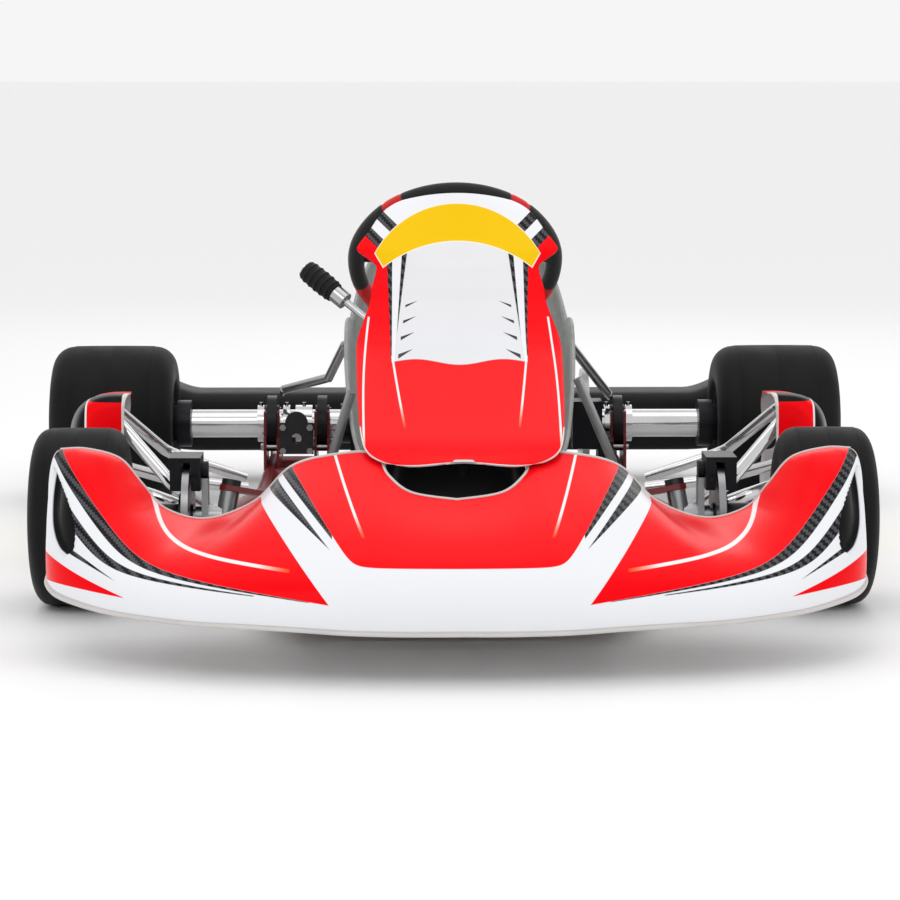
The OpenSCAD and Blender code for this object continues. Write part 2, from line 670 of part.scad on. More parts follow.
module front_tyre_left() { color("#101011") tyre(front_wheel_x, front_axle_y, front_tyre_r, front_tyre_r, front_tyre_w); }
module front_tyre_right() { color("#101011") tyre(-front_wheel_x, front_axle_y, front_tyre_r, front_tyre_r, front_tyre_w); }

// ---- Rear axle ----
module rear_axle() {
  color("#d6d8da") difference() {
    axle_bar(-axle_half, axle_half, rear_axle_y, rear_tyre_r, axle_r);
    axle_bar(-axle_half - 1, axle_half + 1, rear_axle_y, rear_tyre_r, axle_r - 4);
  }
}

module axle_collars() {
  color("#d6d8da") for (x = [[-290, -278], [-268, -238], [286, 296], [-336, -324.5], [324.5, 336]]) difference() {
    union() {
      axle_bar(x[0], x[1], rear_axle_y, rear_tyre_r, 33);
      translate([(x[0] + x[1]) / 2, rear_axle_y, rear_tyre_r + 20]) cylinder(h = 18, r = 3.5);
    }
    axle_bar(x[0] - 1, x[1] + 1, rear_axle_y, rear_tyre_r, axle_r);
  }
}

module rear_hub(side) {
  mirror([side > 0 ? 0 : 1, 0, 0]) difference() {
    union() {
      axle_bar(455, 480, rear_axle_y, rear_tyre_r, 42);
      axle_bar(478, 556, rear_axle_y, rear_tyre_r, 33);
      axle_bar(554, 562.9, rear_axle_y, rear_tyre_r, 44);
      for (a = [0, 120, 240]) {
        y = rear_axle_y + 36 * sin(a);
        z = rear_tyre_r + 36 * cos(a);
        axle_bar(560, 584, y, z, 4);
        axle_bar(571.1, 579, y, z, 7, 6);
      }
    }
    axle_bar(450, 600, rear_axle_y, rear_tyre_r, axle_r);
  }
}
module rear_hub_left() { color("#141414") rear_hub(1); }
module rear_hub_right() { color("#141414") rear_hub(-1); }

module rear_rim(side) {
  mirror([side > 0 ? 0 : 1, 0, 0])
    rim(rear_wheel_x - 104, rear_wheel_x + 104, 563, rear_axle_y, rear_tyre_r, 26, 72, 4.1);
}
module rear_rim_left() { color("#2a2b2d") rear_rim(1); }
module rear_rim_right() { color("#2a2b2d") rear_rim(-1); }
module rear_tyre_left() { color("#101011") tyre(rear_wheel_x, rear_axle_y, rear_tyre_r, rear_tyre_r, rear_tyre_w); }
module rear_tyre_right() { color("#101011") tyre(-rear_wheel_x, rear_axle_y, rear_tyre_r, rear_tyre_r, rear_tyre_w); }

module rear_disc() {
  color("#a9abad") difference() {
    union() {
      axle_bar(rear_disc_x - 6, rear_disc_x + 6, rear_axle_y, rear_tyre_r, rear_disc_r);
      axle_bar(rear_disc_x - 22, rear_disc_x + 22, rear_axle_y, rear_tyre_r, 36);
    }
    axle_bar(rear_disc_x - 40, rear_disc_x + 40, rear_axle_y, rear_tyre_r, axle_r);
    for (a = [0 : 24 : 336]) axle_bar(rear_disc_x - 9, rear_disc_x + 9,
      rear_axle_y + 80 * sin(a), rear_tyre_r + 80 * cos(a), 4.5);
  }
}

sprocket_x = -165;

module sprocket_carrier() {
  color("#1d1d1d") difference() {
    union() {
      axle_bar(sprocket_x - 22, sprocket_x + 22, rear_axle_y, rear_tyre_r, 36);
      axle_bar(sprocket_x - 4, sprocket_x + 4, rear_axle_y, rear_tyre_r, 62);
    }
    axle_bar(sprocket_x - 40, sprocket_x + 40, rear_axle_y, rear_tyre_r, axle_r);
    for (a = [0 : 60 : 300]) axle_bar(sprocket_x - 9, sprocket_x + 9,
      rear_axle_y + 52 * sin(a), rear_tyre_r + 52 * cos(a), 4.1);
  }
}

module gear_lever() {
  knob = [-226, 0, 461];
  elbow_at = [-114, -55, 374];
  color("#b9bbbd") difference() {
    union() {
      translate(shift_pivot + [-8.5, 0, 0]) rotate([0, 90, 0]) cylinder(h = 17, r = 11);
      pipe([shift_pivot + [0, 0, 0], elbow_at, knob + (elbow_at - knob) * 0.15], 30, 6);
    }
    translate(shift_pivot + [-20, 0, 0]) rotate([0, 90, 0]) cylinder(h = 40, r = 5 + fit);
  }
  color("#1a1a1a") rod(knob, knob + unit(elbow_at - knob) * 85, 14);
}

main_frame();
yoke_left();
yoke_right();
kingpins();
axle_hangers();
bearing_cassettes();
bridge_plate();
frame_bolts();
floor_tray();
fuel_tank();
tank_cap();
column_bracket();
column_bearing();
front_bumper();
front_fairing();
nassau_panel();
nassau_bracket();
side_bumper_left();
side_bumper_right();
side_pod_left();
side_pod_right();
rear_bumper();
bumper_mounts();
seat();
seat_struts();
master_cylinders();
rear_brake_line();
rear_caliper();
shift_bracket();
pedal_mounts();
steering_column();
steering_wheel();
stub_axle_left();
stub_axle_right();
front_caliper_left();
front_caliper_right();
tie_rod_left();
tie_rod_right();
front_hub_left();
front_hub_right();
front_disc_left();
front_disc_right();
front_rim_left();
front_rim_right();
front_tyre_left();
front_tyre_right();
rear_axle();
axle_collars();
rear_hub_left();
rear_hub_right();
rear_rim_left();
rear_rim_right();
rear_tyre_left();
rear_tyre_right();
rear_disc();
sprocket_carrier();
brake_pedal();
throttle_pedal();
gear_lever();
brake_rod();
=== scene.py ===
"""Looks of a racing kart chassis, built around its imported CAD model. Lengths are in metres."""

import json
import math

import bmesh
import bpy
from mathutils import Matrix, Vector


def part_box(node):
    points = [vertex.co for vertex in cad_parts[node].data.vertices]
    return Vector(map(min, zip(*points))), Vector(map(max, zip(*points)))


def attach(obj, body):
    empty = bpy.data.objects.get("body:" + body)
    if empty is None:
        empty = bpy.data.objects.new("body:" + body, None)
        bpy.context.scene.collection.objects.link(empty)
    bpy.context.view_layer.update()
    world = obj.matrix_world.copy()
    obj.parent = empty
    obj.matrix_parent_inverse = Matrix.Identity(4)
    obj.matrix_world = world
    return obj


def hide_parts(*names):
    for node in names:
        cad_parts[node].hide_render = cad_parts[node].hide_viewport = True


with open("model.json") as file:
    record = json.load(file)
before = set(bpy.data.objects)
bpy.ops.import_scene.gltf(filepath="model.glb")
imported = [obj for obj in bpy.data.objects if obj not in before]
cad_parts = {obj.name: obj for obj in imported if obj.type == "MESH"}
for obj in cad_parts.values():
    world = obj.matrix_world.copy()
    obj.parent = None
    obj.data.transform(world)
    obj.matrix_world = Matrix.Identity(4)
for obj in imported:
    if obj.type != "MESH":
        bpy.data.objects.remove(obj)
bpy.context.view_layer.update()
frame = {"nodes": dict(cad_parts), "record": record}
MM = 0.001
LEFT, RIGHT = 1, -1


# ---------------------------------------------------------------- camera, lights, floor

def add_camera():
    data = bpy.data.cameras.new("camera")
    data.lens = 118.5
    data.sensor_width = 36
    camera = bpy.data.objects.new("camera", data)
    camera.location = (-0.061, -4.65, 0.77)
    camera.rotation_euler = (math.radians(90 - 7.3), 0, math.radians(-0.76))
    bpy.context.collection.objects.link(camera)
    bpy.context.scene.camera = camera


def add_area_light(name, place, target, size, watts):
    data = bpy.data.lights.new(name, "AREA")
    data.shape = "RECTANGLE"
    data.size, data.size_y = size
    data.energy = watts
    lamp = bpy.data.objects.new(name, data)
    lamp.location = place
    lamp.rotation_euler = (Vector(target) - Vector(place)).to_track_quat("-Z", "Y").to_euler()
    bpy.context.collection.objects.link(lamp)


def add_studio():
    world = bpy.data.worlds.new("studio")
    world.use_nodes = True
    background = world.node_tree.nodes["Background"]
    background.inputs["Color"].default_value = (1, 1, 1, 1)
    background.inputs["Strength"].default_value = 0.92
    bpy.context.scene.world = world
    bpy.context.scene.view_settings.view_transform = "Standard"
    add_area_light("key", (-1.6, -3.2, 3.4), (0, 0, 0.2), (2.6, 1.6), 22)
    add_area_light("fill", (3.0, -2.2, 2.2), (0, 0, 0.2), (1.6, 2.2), 10)
    add_area_light("top", (0, 0.2, 3.2), (0, 0, 0), (3.2, 2.2), 16)
    add_area_light("back", (0.5, 4.0, 2.2), (0, 0.5, 0.2), (3.0, 1.4), 10)
    bpy.ops.mesh.primitive_plane_add(size=400, location=(0, 0, 0))
    floor = bpy.context.object
    floor.name = "studio_floor"
    paint = Shader("studio_floor_paint", (0.93, 0.93, 0.93), roughness=0.6)
    floor.data.materials.append(paint.material)


# ---------------------------------------------------------------- shader nodes

class Shader:
    """A Principled material, with short calls for the nodes that feed it."""

    def __init__(self, name, colour, roughness=0.5, metallic=0.0, coat=0.0, coat_roughness=0.05, shine=0.5):
        self.material = bpy.data.materials.new(name)
        self.material.use_nodes = True
        self.tree = self.material.node_tree
        self.bsdf = self.tree.nodes["Principled BSDF"]
        self.bsdf.inputs["Base Color"].default_value = (*colour, 1)
        self.bsdf.inputs["Roughness"].default_value = roughness
        self.bsdf.inputs["Metallic"].default_value = metallic
        self.bsdf.inputs["Coat Weight"].default_value = coat
        self.bsdf.inputs["Specular IOR Level"].default_value = shine
        self.bsdf.inputs["Coat Roughness"].default_value = coat_roughness
        self.place = self.node("ShaderNodeTexCoord").outputs["Object"]
        self.split = None

    def node(self, kind, **settings):
        made = self.tree.nodes.new(kind)
        for key, value in settings.items():
            setattr(made, key, value)
        return made

    def feed(self, socket, value):
        if isinstance(value, bpy.types.NodeSocket):
            self.tree.links.new(value, socket)
        else:
            socket.default_value = value

    def math(self, operation, *values, clamp=False):
        made = self.node("ShaderNodeMath", operation=operation, use_clamp=clamp)
        for i, value in enumerate(values):
            self.feed(made.inputs[i], value)
        return made.outputs[0]

    def axis(self, letter):
        if self.split is None:
            self.split = self.node("ShaderNodeSeparateXYZ")
            self.feed(self.split.inputs[0], self.place)
        return self.split.outputs[letter]

    def attribute(self, name):
        return self.node("ShaderNodeAttribute", attribute_name=name).outputs["Fac"]

    def above(self, value, limit, softness=0.0008):
        """1 where value is over limit, with a narrow soft edge."""
        difference = self.math("SUBTRACT", value, limit)
        return self.math("MULTIPLY_ADD", difference, 1 / softness, 0.5, clamp=True)

    def between(self, value, low, high, softness=0.0008):
        return self.math("MULTIPLY", self.above(value, low, softness), self.above(high, value, softness))

    def both(self, *masks):
        result = masks[0]
        for mask in masks[1:]:
            result = self.math("MULTIPLY", result, mask)
        return result

    def bend(self, value, corner, before, after, softness):
        """Height and slope of a line that turns from one slope to another round a corner."""
        past = self.math("SUBTRACT", value, corner[0])
        root = self.math("SQRT", self.math("MULTIPLY_ADD", past, past, softness ** 2))
        ramp = self.math("MULTIPLY", self.math("ADD", past, root), 0.5)
        straight = self.math("MULTIPLY_ADD", past, before, corner[1])
        height = self.math("MULTIPLY_ADD", ramp, after - before, straight)
        turned = self.math("MULTIPLY_ADD", self.math("DIVIDE", past, root), 0.5, 0.5)
        return height, self.math("MULTIPLY_ADD", turned, after - before, before)

    def stroke(self, other, height, slope, half_width):
        """1 on a line of even width that follows a bend."""
        off = self.math("ABSOLUTE", self.math("SUBTRACT", other, height))
        stretch = self.math("SQRT", self.math("MULTIPLY_ADD", slope, slope, 1.0))
        return self.above(half_width, self.math("DIVIDE", off, stretch), 0.0007)

    def fading_stroke(self, paint, mask, value, full, end):
        """A white line that turns orange past full and is gone at end."""
        tone = self.math("DIVIDE", self.math("SUBTRACT", value, full), end - full, clamp=True)
        strength = self.math("MULTIPLY", mask, self.math("SUBTRACT", 1.15, tone, clamp=True))
        colour = self.mix(tone, (0.9, 0.85, 0.85), ORANGE)
        return self.mix(self.math("MULTIPLY", strength, self.math("LESS_THAN", tone, 0.999)), paint, colour)

    def mix(self, mask, low, high):
        made = self.node("ShaderNodeMix", data_type="RGBA")
        self.feed(made.inputs["Factor"], mask)
        for socket, value in ((made.inputs[6], low), (made.inputs[7], high)):
            self.feed(socket, value if isinstance(value, bpy.types.NodeSocket) else (*value, 1))
        return made.outputs[2]

    def noise(self, scale, detail=3.0):
        made = self.node("ShaderNodeTexNoise")
        made.inputs["Scale"].default_value = scale
        made.inputs["Detail"].default_value = detail
        self.feed(made.inputs["Vector"], self.place)
        return made.outputs["Fac"]

    def vary(self, colour, scale, amount):
        """A colour that drifts a little lighter and darker over the surface."""
        dark = tuple(c * (1 - amount) for c in colour)
        light = tuple(min(1, c * (1 + amount)) for c in colour)
        return self.mix(self.noise(scale), dark, light)

    def rough(self, low, high, scale):
        span = self.math("MULTIPLY_ADD", self.noise(scale), high - low, low)
        self.feed(self.bsdf.inputs["Roughness"], span)

    def bump(self, height, strength=0.2, distance=0.001):
        made = self.node("ShaderNodeBump")
        made.inputs["Strength"].default_value = strength
        made.inputs["Distance"].default_value = distance
        self.feed(made.inputs["Height"], height)
        self.feed(self.bsdf.inputs["Normal"], made.outputs[0])

    def colour(self, value):
        self.feed(self.bsdf.inputs["Base Color"], value)


RED = (0.88, 0.002, 0.006)
WHITE = (0.80, 0.81, 0.84)
YELLOW = (0.85, 0.53, 0.006)
ORANGE = (1.0, 0.28, 0.02)
CARBON_DARK = (0.012, 0.012, 0.014)
CARBON_LIGHT = (0.075, 0.075, 0.082)


def carbon(shader, across, up, tow=0.0034):
    """Twill weave: diagonal ribs two tows wide."""
    a = shader.math("FLOOR", shader.math("DIVIDE", across, tow))
    b = shader.math("FLOOR", shader.math("DIVIDE", up, tow))
    step = shader.math("FLOORED_MODULO", shader.math("ADD", a, b), 4)
    rib = shader.math("LESS_THAN", step, 2)
    return shader.mix(rib, CARBON_DARK, CARBON_LIGHT)


# ---------------------------------------------------------------- plain materials

def painted(name, colour, low=0.3, high=0.42, coat=0.08):
    shader = Shader(name, colour, coat=coat, coat_roughness=0.12)
    shader.colour(shader.vary(colour, 35, 0.12))
    shader.rough(low, high, 60)
    shader.bump(shader.noise(900, 2), 0.06, 0.0004)
    return shader.material


def plastic(name, colour, low=0.45, high=0.6, grain=1400):
    shader = Shader(name, colour, shine=0.14)
    shader.colour(shader.vary(colour, 18, 0.15))
    shader.rough(low, high, 40)
    shader.bump(shader.noise(grain, 2), 0.18, 0.0004)
    return shader.material


def metal(name, colour, low, high, brushed=0.0):
    shader = Shader(name, colour, metallic=1.0)
    shader.colour(shader.vary(colour, 30, 0.08))
    shader.rough(low, high, 25)
    shader.bump(shader.noise(300 + 1500 * brushed, 3), 0.03 + 0.12 * brushed, 0.0003)
    return shader.material


def tyre_rubber():
    shader = Shader("tyre_rubber", (0.007, 0.007, 0.008), shine=0.10)
    grey = shader.mix(shader.noise(14, 5), (0.004, 0.004, 0.005), (0.012, 0.012, 0.013))
    shader.colour(grey)
    shader.rough(0.42, 0.62, 20)
    shader.bump(shader.noise(500, 4), 0.12, 0.0006)
    return shader.material


def fibreglass():
    shader = Shader("seat_gelcoat", (0.33, 0.34, 0.33), coat=0.25, coat_roughness=0.2)
    cell = shader.node("ShaderNodeTexVoronoi")
    cell.inputs["Scale"].default_value = 90
    shader.feed(cell.inputs["Vector"], shader.place)
    mottle = shader.math("MULTIPLY_ADD", cell.outputs["Distance"], 0.35, shader.noise(22, 5))
    tone = shader.math("SUBTRACT", mottle, 0.35, clamp=True)
    shader.colour(shader.mix(tone, (0.23, 0.24, 0.235), (0.45, 0.46, 0.44)))
    shader.rough(0.32, 0.5, 30)
    shader.bump(mottle, 0.1, 0.0006)
    return shader.material


def suede():
    shader = Shader("wheel_suede", (0.012, 0.012, 0.012), roughness=0.95)
    shader.bsdf.inputs["Sheen Weight"].default_value = 0.35
    shader.bsdf.inputs["Sheen Roughness"].default_value = 0.4
    panel = shader.attribute("panel")
    black = shader.vary((0.012, 0.012, 0.012), 400, 0.4)
    red = shader.vary((0.62, 0.012, 0.012), 400, 0.18)
    shader.colour(shader.mix(panel, black, red))
    shader.bump(shader.noise(1800, 4), 0.35, 0.0006)
    return shader.material


def tank_plastic():
    shader = Shader("tank_plastic", (0.72, 0.70, 0.62), roughness=0.4)
    shader.bsdf.inputs["Subsurface Weight"].default_value = 0.25
    shader.bsdf.inputs["Subsurface Radius"].default_value = (0.02, 0.02, 0.015)
    shader.colour(shader.vary((0.72, 0.70, 0.62), 12, 0.06))
    shader.bump(shader.noise(600, 2), 0.08, 0.0004)
    return shader.material


def make_materials():
    return {
        "frame_paint": painted("frame_red", (0.165, 0.005, 0.007), 0.28, 0.4, 0.12),
        "black_steel": painted("black_paint", (0.009, 0.009, 0.010), 0.35, 0.5, 0.05),
        "black_alloy": metal("black_anodised", (0.022, 0.022, 0.025), 0.3, 0.42, 0.3),
        "zinc_steel": metal("zinc_steel", (0.40, 0.41, 0.42), 0.28, 0.42, 0.4),
        "chrome": metal("chrome_plate", (0.62, 0.62, 0.63), 0.08, 0.16),
        "floor_alloy": metal("brushed_alloy", (0.45, 0.46, 0.47), 0.25, 0.4, 0.6),
        "tank_plastic": tank_plastic(),
        "black_plastic": plastic("black_plastic", (0.014, 0.014, 0.015), 0.38, 0.52),
        "body_plastic": plastic("body_back", (0.60, 0.58, 0.57), 0.3, 0.42),
        "seat_fibreglass": fibreglass(),
        "hose_rubber": plastic("hose_rubber", (0.012, 0.012, 0.012), 0.4, 0.5),
        "disc_steel": metal("disc_steel", (0.30, 0.30, 0.31), 0.22, 0.36, 1.0),
        "rim_alloy": metal("rim_alloy", (0.06, 0.06, 0.065), 0.26, 0.38, 0.2),
        "tyre_rubber": tyre_rubber(),
        "wheel_suede": suede(),
        "pedal_alloy": metal("red_anodised", (0.55, 0.02, 0.02), 0.25, 0.38, 0.3),
        "lever_steel": metal("lever_steel", (0.48, 0.48, 0.49), 0.15, 0.28, 0.3),
    }


def dress_cad_nodes(materials):
    """Gives every CAD part its material, a fine bevel and clean shading."""
    slots = {row["node"]: row["material_slot"] for row in frame["record"]["subparts"]}
    for name, node in frame["nodes"].items():
        for slot in node.material_slots:
            slot.material = materials[slots[name]]
        if not node.material_slots:
            node.data.materials.append(materials[slots[name]])
        bevel = node.modifiers.new("edge", "BEVEL")
        bevel.width = 0.0007
        bevel.segments = 2
        bevel.limit_method = "ANGLE"
        bevel.angle_limit = math.radians(38)
        bevel.harden_normals = False
        node.modifiers.new("shade", "WEIGHTED_NORMAL").keep_sharp = True


# ---------------------------------------------------------------- mesh helpers

def add_object(name, mesh, body, material, replaced=()):
    made = bpy.data.objects.new(name, mesh)
    bpy.context.collection.objects.link(made)
    if not mesh.materials:
        mesh.materials.append(material)
    for face in mesh.polygons:
        face.use_smooth = True
    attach(made, body)
    if replaced:
        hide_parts(*replaced)
    return made


def apply_modifiers(made):
    bpy.context.view_layer.update()
    graph = bpy.context.evaluated_depsgraph_get()
    mesh = bpy.data.meshes.new_from_object(made.evaluated_get(graph))
    made.modifiers.clear()
    made.data = mesh


def spline(values, t):
    """A smooth curve through a list of equal-length tuples, t from 0 to len - 1."""
    i = min(int(t), len(values) - 2)
    f = t - i
    p0, p1 = values[max(i - 1, 0)], values[i]
    p2, p3 = values[i + 1], values[min(i + 2, len(values) - 1)]
    return tuple(
        0.5 * (2 * b + (c - a) * f + (2 * a - 5 * b + 4 * c - d) * f * f + (3 * b - a - 3 * c + d) * f ** 3)
        for a, b, c, d in zip(p0, p1, p2, p3))


def bezier(c, t):
    s = 1 - t
    return tuple(s ** 3 * a + 3 * s * s * t * b + 3 * s * t * t * d + t ** 3 * e for a, b, d, e in zip(*c))


def grid_mesh(name, rows, closed=False, fields=None):
    """A sheet over rows of points; fields are extra per-point values kept as attributes."""
    mesh = bpy.data.meshes.new(name)
    n = len(rows[0])
    points = [p for row in rows for p in row]
    wrap = n if closed else n - 1
    faces = [(i * n + k, i * n + (k + 1) % n, (i + 1) * n + (k + 1) % n, (i + 1) * n + k)
             for i in range(len(rows) - 1) for k in range(wrap)]
    mesh.from_pydata(points, [], faces)
    for key, values in (fields or {}).items():
        layer = mesh.attributes.new(key, "FLOAT", "POINT")
        layer.data.foreach_set("value", [v for row in values for v in row])
    mesh.update()
    return mesh


def thicken(made, thickness, offset=-1.0, back=None):
    """Gives a sheet its wall; back is the material of the far side."""
    solid = made.modifiers.new("thickness", "SOLIDIFY")
    solid.thickness = thickness
    solid.offset = offset
    solid.use_rim = True
    if back:
        made.data.materials.append(back)
        solid.material_offset = 1
    apply_modifiers(made)
    for face in made.data.polygons:
        face.use_smooth = True


def lathe(name, profile, centre, segments=96, closed=False):
    """A mesh turned about the X axis through centre; profile is (x, r) pairs."""
    rows = []
    for x, r in profile:
        ring = [2 * math.pi * k / segments for k in range(segments)]
        rows.append([(centre[0] + x, centre[1] + r * math.sin(a), centre[2] + r * math.cos(a)) for a in ring])
    if closed:
        rows.append(rows[0])
    mesh = grid_mesh(name, rows, closed=True)
    work = bmesh.new()
    work.from_mesh(mesh)
    bmesh.ops.remove_doubles(work, verts=work.verts, dist=1e-6)
    bmesh.ops.recalc_face_normals(work, faces=work.faces)
    work.to_mesh(mesh)
    work.free()
    return mesh


def round_tube(name, points, radius, sides=20, radii=None):
    """A tube with closed ends along a list of points."""
    rows = []
    up = Vector((0.013, 0.11, 1)).normalized()
    for i, point in enumerate(points):
        here = Vector(point)
        along = Vector(points[min(i + 1, len(points) - 1)]) - Vector(points[max(i - 1, 0)])
        u = along.cross(up).normalized()
        v = u.cross(along).normalized()
        r = radii[i] if radii else radius
        rows.append([tuple(here + r * (math.cos(a) * u + math.sin(a) * v))
                     for a in (2 * math.pi * k / sides for k in range(sides))])
    mesh = grid_mesh(name, rows, closed=True)
    work = bmesh.new()
    work.from_mesh(mesh)
    bmesh.ops.holes_fill(work, edges=[e for e in work.edges if e.is_boundary], sides=sides)
    bmesh.ops.recalc_face_normals(work, faces=work.faces)
    work.to_mesh(mesh)
    work.free()
    return mesh


# ---------------------------------------------------------------- front fairing

# Control points from the rear edge over the hood to the lip, from the middle to one end, in mm
FAIRING_ROWS = [
    ((0, -760, 205), (0, -850, 180), (0, -1030, 165), (0, -985, 66)),
    ((60, -742, 212), (60, -850, 182), (70, -1028, 163), (70, -985, 66)),
    ((92, -690, 229), (110, -850, 190), (140, -1022, 160), (140, -980, 67)),
    ((110, -628, 250), (130, -800, 198), (200, -1012, 158), (205, -972, 70)),
    ((165, -620, 248), (180, -790, 196), (260, -1000, 155), (270, -960, 72)),
    ((225, -625, 232), (245, -780, 190), (320, -982, 152), (335, -945, 73)),
    ((275, -632, 185), (300, -770, 165), (375, -960, 155), (395, -920, 75)),
    ((340, -645, 163), (360, -770, 155), (430, -932, 165), (450, -890, 78)),
    ((395, -655, 178), (420, -760, 190), (475, -895, 190), (495, -850, 82)),
    ((425, -660, 212), (455, -750, 235), (520, -853, 215), (528, -805, 86)),
    ((455, -664, 248), (490, -735, 270), (545, -807, 235), (545, -760, 92)),
    ((500, -668, 262), (525, -710, 272), (553, -760, 240), (549, -715, 97)),
    ((535, -672, 262), (546, -690, 262), (553, -715, 230), (548, -680, 99)),
]
DECAL_TILT = math.radians(7.3)


def fairing_point(u, v):
    """u runs from -1 at the right end to 1 at the left end, v from the rear edge to the lip."""
    t = abs(u) * (len(FAIRING_ROWS) - 1)
    flat = [tuple(c for p in row for c in p) for row in FAIRING_ROWS]
    c = spline(flat, t)
    x, y, z = bezier((c[0:3], c[3:6], c[6:9], c[9:12]), v)
    return (math.copysign(x, u) * MM, y * MM, z * MM)


# Side sweep: a gentle line that turns steeply up toward the fairing's end
SWEEP_CORNER = (0.425, 0.014)
SWEEP_GENTLE, SWEEP_STEEP, SWEEP_ROUND = 0.15, 1.45, 0.045
BAND_STEP = Vector((0.015, -0.003))
BAND_CLOSING = 0.018
# Middle of the fairing: the red hood's slanted edge, and the marks along it
HOOD_CORNER, HOOD_SLOPE = (0.136, 0.022), 1.45
DIAGONAL_FOOT, DIAGONAL_SLOPE = (0.165, -0.022), 1.3
WEDGE_FOOT, WEDGE_SLOPE = (0.163, 0.058), 1.12
THORN_TIP = (0.165, 0.045)


def sweep(shader, across, step):
    """Edge number step of the side sweep; the edges draw together toward the middle."""
    corner = (SWEEP_CORNER[0] + step * BAND_STEP.x, SWEEP_CORNER[1] + step * BAND_STEP.y)
    return shader.bend(across, corner, SWEEP_GENTLE - step * BAND_CLOSING, SWEEP_STEEP, SWEEP_ROUND)[0]


def ray(shader, across, foot, slope):
    """A straight line up and outward from a foot."""
    return shader.math("MULTIPLY_ADD", shader.math("SUBTRACT", across, foot[0]), slope, foot[1])


def fairing_paint():
    shader = Shader("fairing_livery", RED, roughness=0.3, shine=0.04)
    across = shader.math("ABSOLUTE", shader.axis("X"))
    up = shader.math("ADD", shader.math("MULTIPLY", shader.axis("Z"), math.cos(DECAL_TILT)),
                     shader.math("MULTIPLY", shader.axis("Y"), math.sin(DECAL_TILT)))
    weave = carbon(shader, shader.axis("X"), up)
    edges = [sweep(shader, across, step) for step in range(4)]
    diagonal = ray(shader, across, DIAGONAL_FOOT, DIAGONAL_SLOPE)
    hood = shader.bend(across, HOOD_CORNER, 0.0, HOOD_SLOPE, 0.012)[0]

    paint = shader.mix(0.0, WHITE, WHITE)
    for high, low, inner in ((0, 1, 0.19), (2, 3, 0.26)):
        band = shader.both(shader.between(up, edges[low], edges[high]), shader.above(across, inner, 0.004),
                           shader.above(0.550 - 0.014 * high, across))
        paint = shader.mix(band, paint, weave)
    paint = corner_marks(shader, paint, across, up, weave)
    side_field = shader.both(shader.above(up, edges[0]), shader.above(diagonal, up))
    paint = shader.mix(side_field, paint, RED)
    hood_field = shader.both(shader.above(up, hood), shader.above(0.25, across))
    paint = shader.mix(hood_field, paint, RED)
    inner_edge = ray(shader, across, WEDGE_FOOT, WEDGE_SLOPE)
    wedge = shader.both(shader.between(up, inner_edge, hood), shader.above(across, WEDGE_FOOT[0]))
    paint = shader.mix(wedge, paint, weave)
    thorn = shader.between(up, ray(shader, across, THORN_TIP, 0.86), ray(shader, across, THORN_TIP, 1.14))
    paint = shader.mix(shader.both(thorn, shader.above(across, THORN_TIP[0])), paint, weave)
    paint = fairing_pinstripes(shader, paint, across, up)
    # Painted shade: the dented drop-shaped recesses are painted near-black to stand for the dark inside the
    # cut-outs
    paint = shader.mix(shader.above(shader.attribute("slot"), 0.5, 0.15), paint, (0.006, 0.006, 0.006))
    paint = shader.mix(shader.above(shader.attribute("rim"), 0.5, 0.2), paint, (0.62, 0.60, 0.59))
    shader.colour(paint)
    shader.rough(0.16, 0.28, 12)
    shader.bump(shader.noise(240, 2), 0.02, 0.0005)
    return shader.material


def corner_marks(shader, paint, across, up, weave):
    """The red flash and the carbon sliver low on each end of the fairing."""
    flash = shader.bend(across, (0.50, 0.012), 0.4, 0.6, 0.03)[0]
    under = ray(shader, across, (0.43, -0.016), 0.16)
    paint = shader.mix(shader.both(shader.between(up, under, flash), shader.above(across, 0.43)), paint, RED)
    tip = (0.442, 0.005)
    sliver = shader.between(up, ray(shader, across, tip, 0.52), ray(shader, across, tip, 0.64))
    return shader.mix(shader.both(sliver, shader.between(across, tip[0], 0.506)), paint, weave)


def fairing_pinstripes(shader, paint, across, up):
    """Two thin white lines on each half of the fairing."""
    height, slope = shader.bend(across, (0.400, 0.038), 0.12, 3.5, 0.028)
    side = shader.both(shader.stroke(up, height, slope, 0.0021), shader.above(0.14, up))
    paint = shader.fading_stroke(paint, side, across, 0.26, 0.215)
    height, slope = shader.bend(across, (0.145, 0.105), 2.1, 2.9, 0.02)
    hood = shader.stroke(up, height, slope, 0.0018)
    return shader.fading_stroke(paint, hood, up, 0.09, 0.06)


# Tall drop-shaped recess near each end of the fairing, foot to top; it stands for a cut-out, and its
# near-black colour is painted shade for the dark seen through the opening
SLOT_FOOT, SLOT_TOP, SLOT_WIDTH = (0.514, 0.037), (0.540, 0.150), 0.036


def teardrop(across, up):
    """1 inside the recess and 0 outside it, widest a third of the way up."""
    height = (up - SLOT_FOOT[1]) / (SLOT_TOP[1] - SLOT_FOOT[1])
    if not 0 < height < 1:
        return 0.0
    middle = SLOT_FOOT[0] + (SLOT_TOP[0] - SLOT_FOOT[0]) * height
    half = SLOT_WIDTH * 1.3 * math.sqrt(height) * (1 - height)
    return max(0.0, min(1.0, (half - abs(across - middle)) / 0.004 + 0.5))


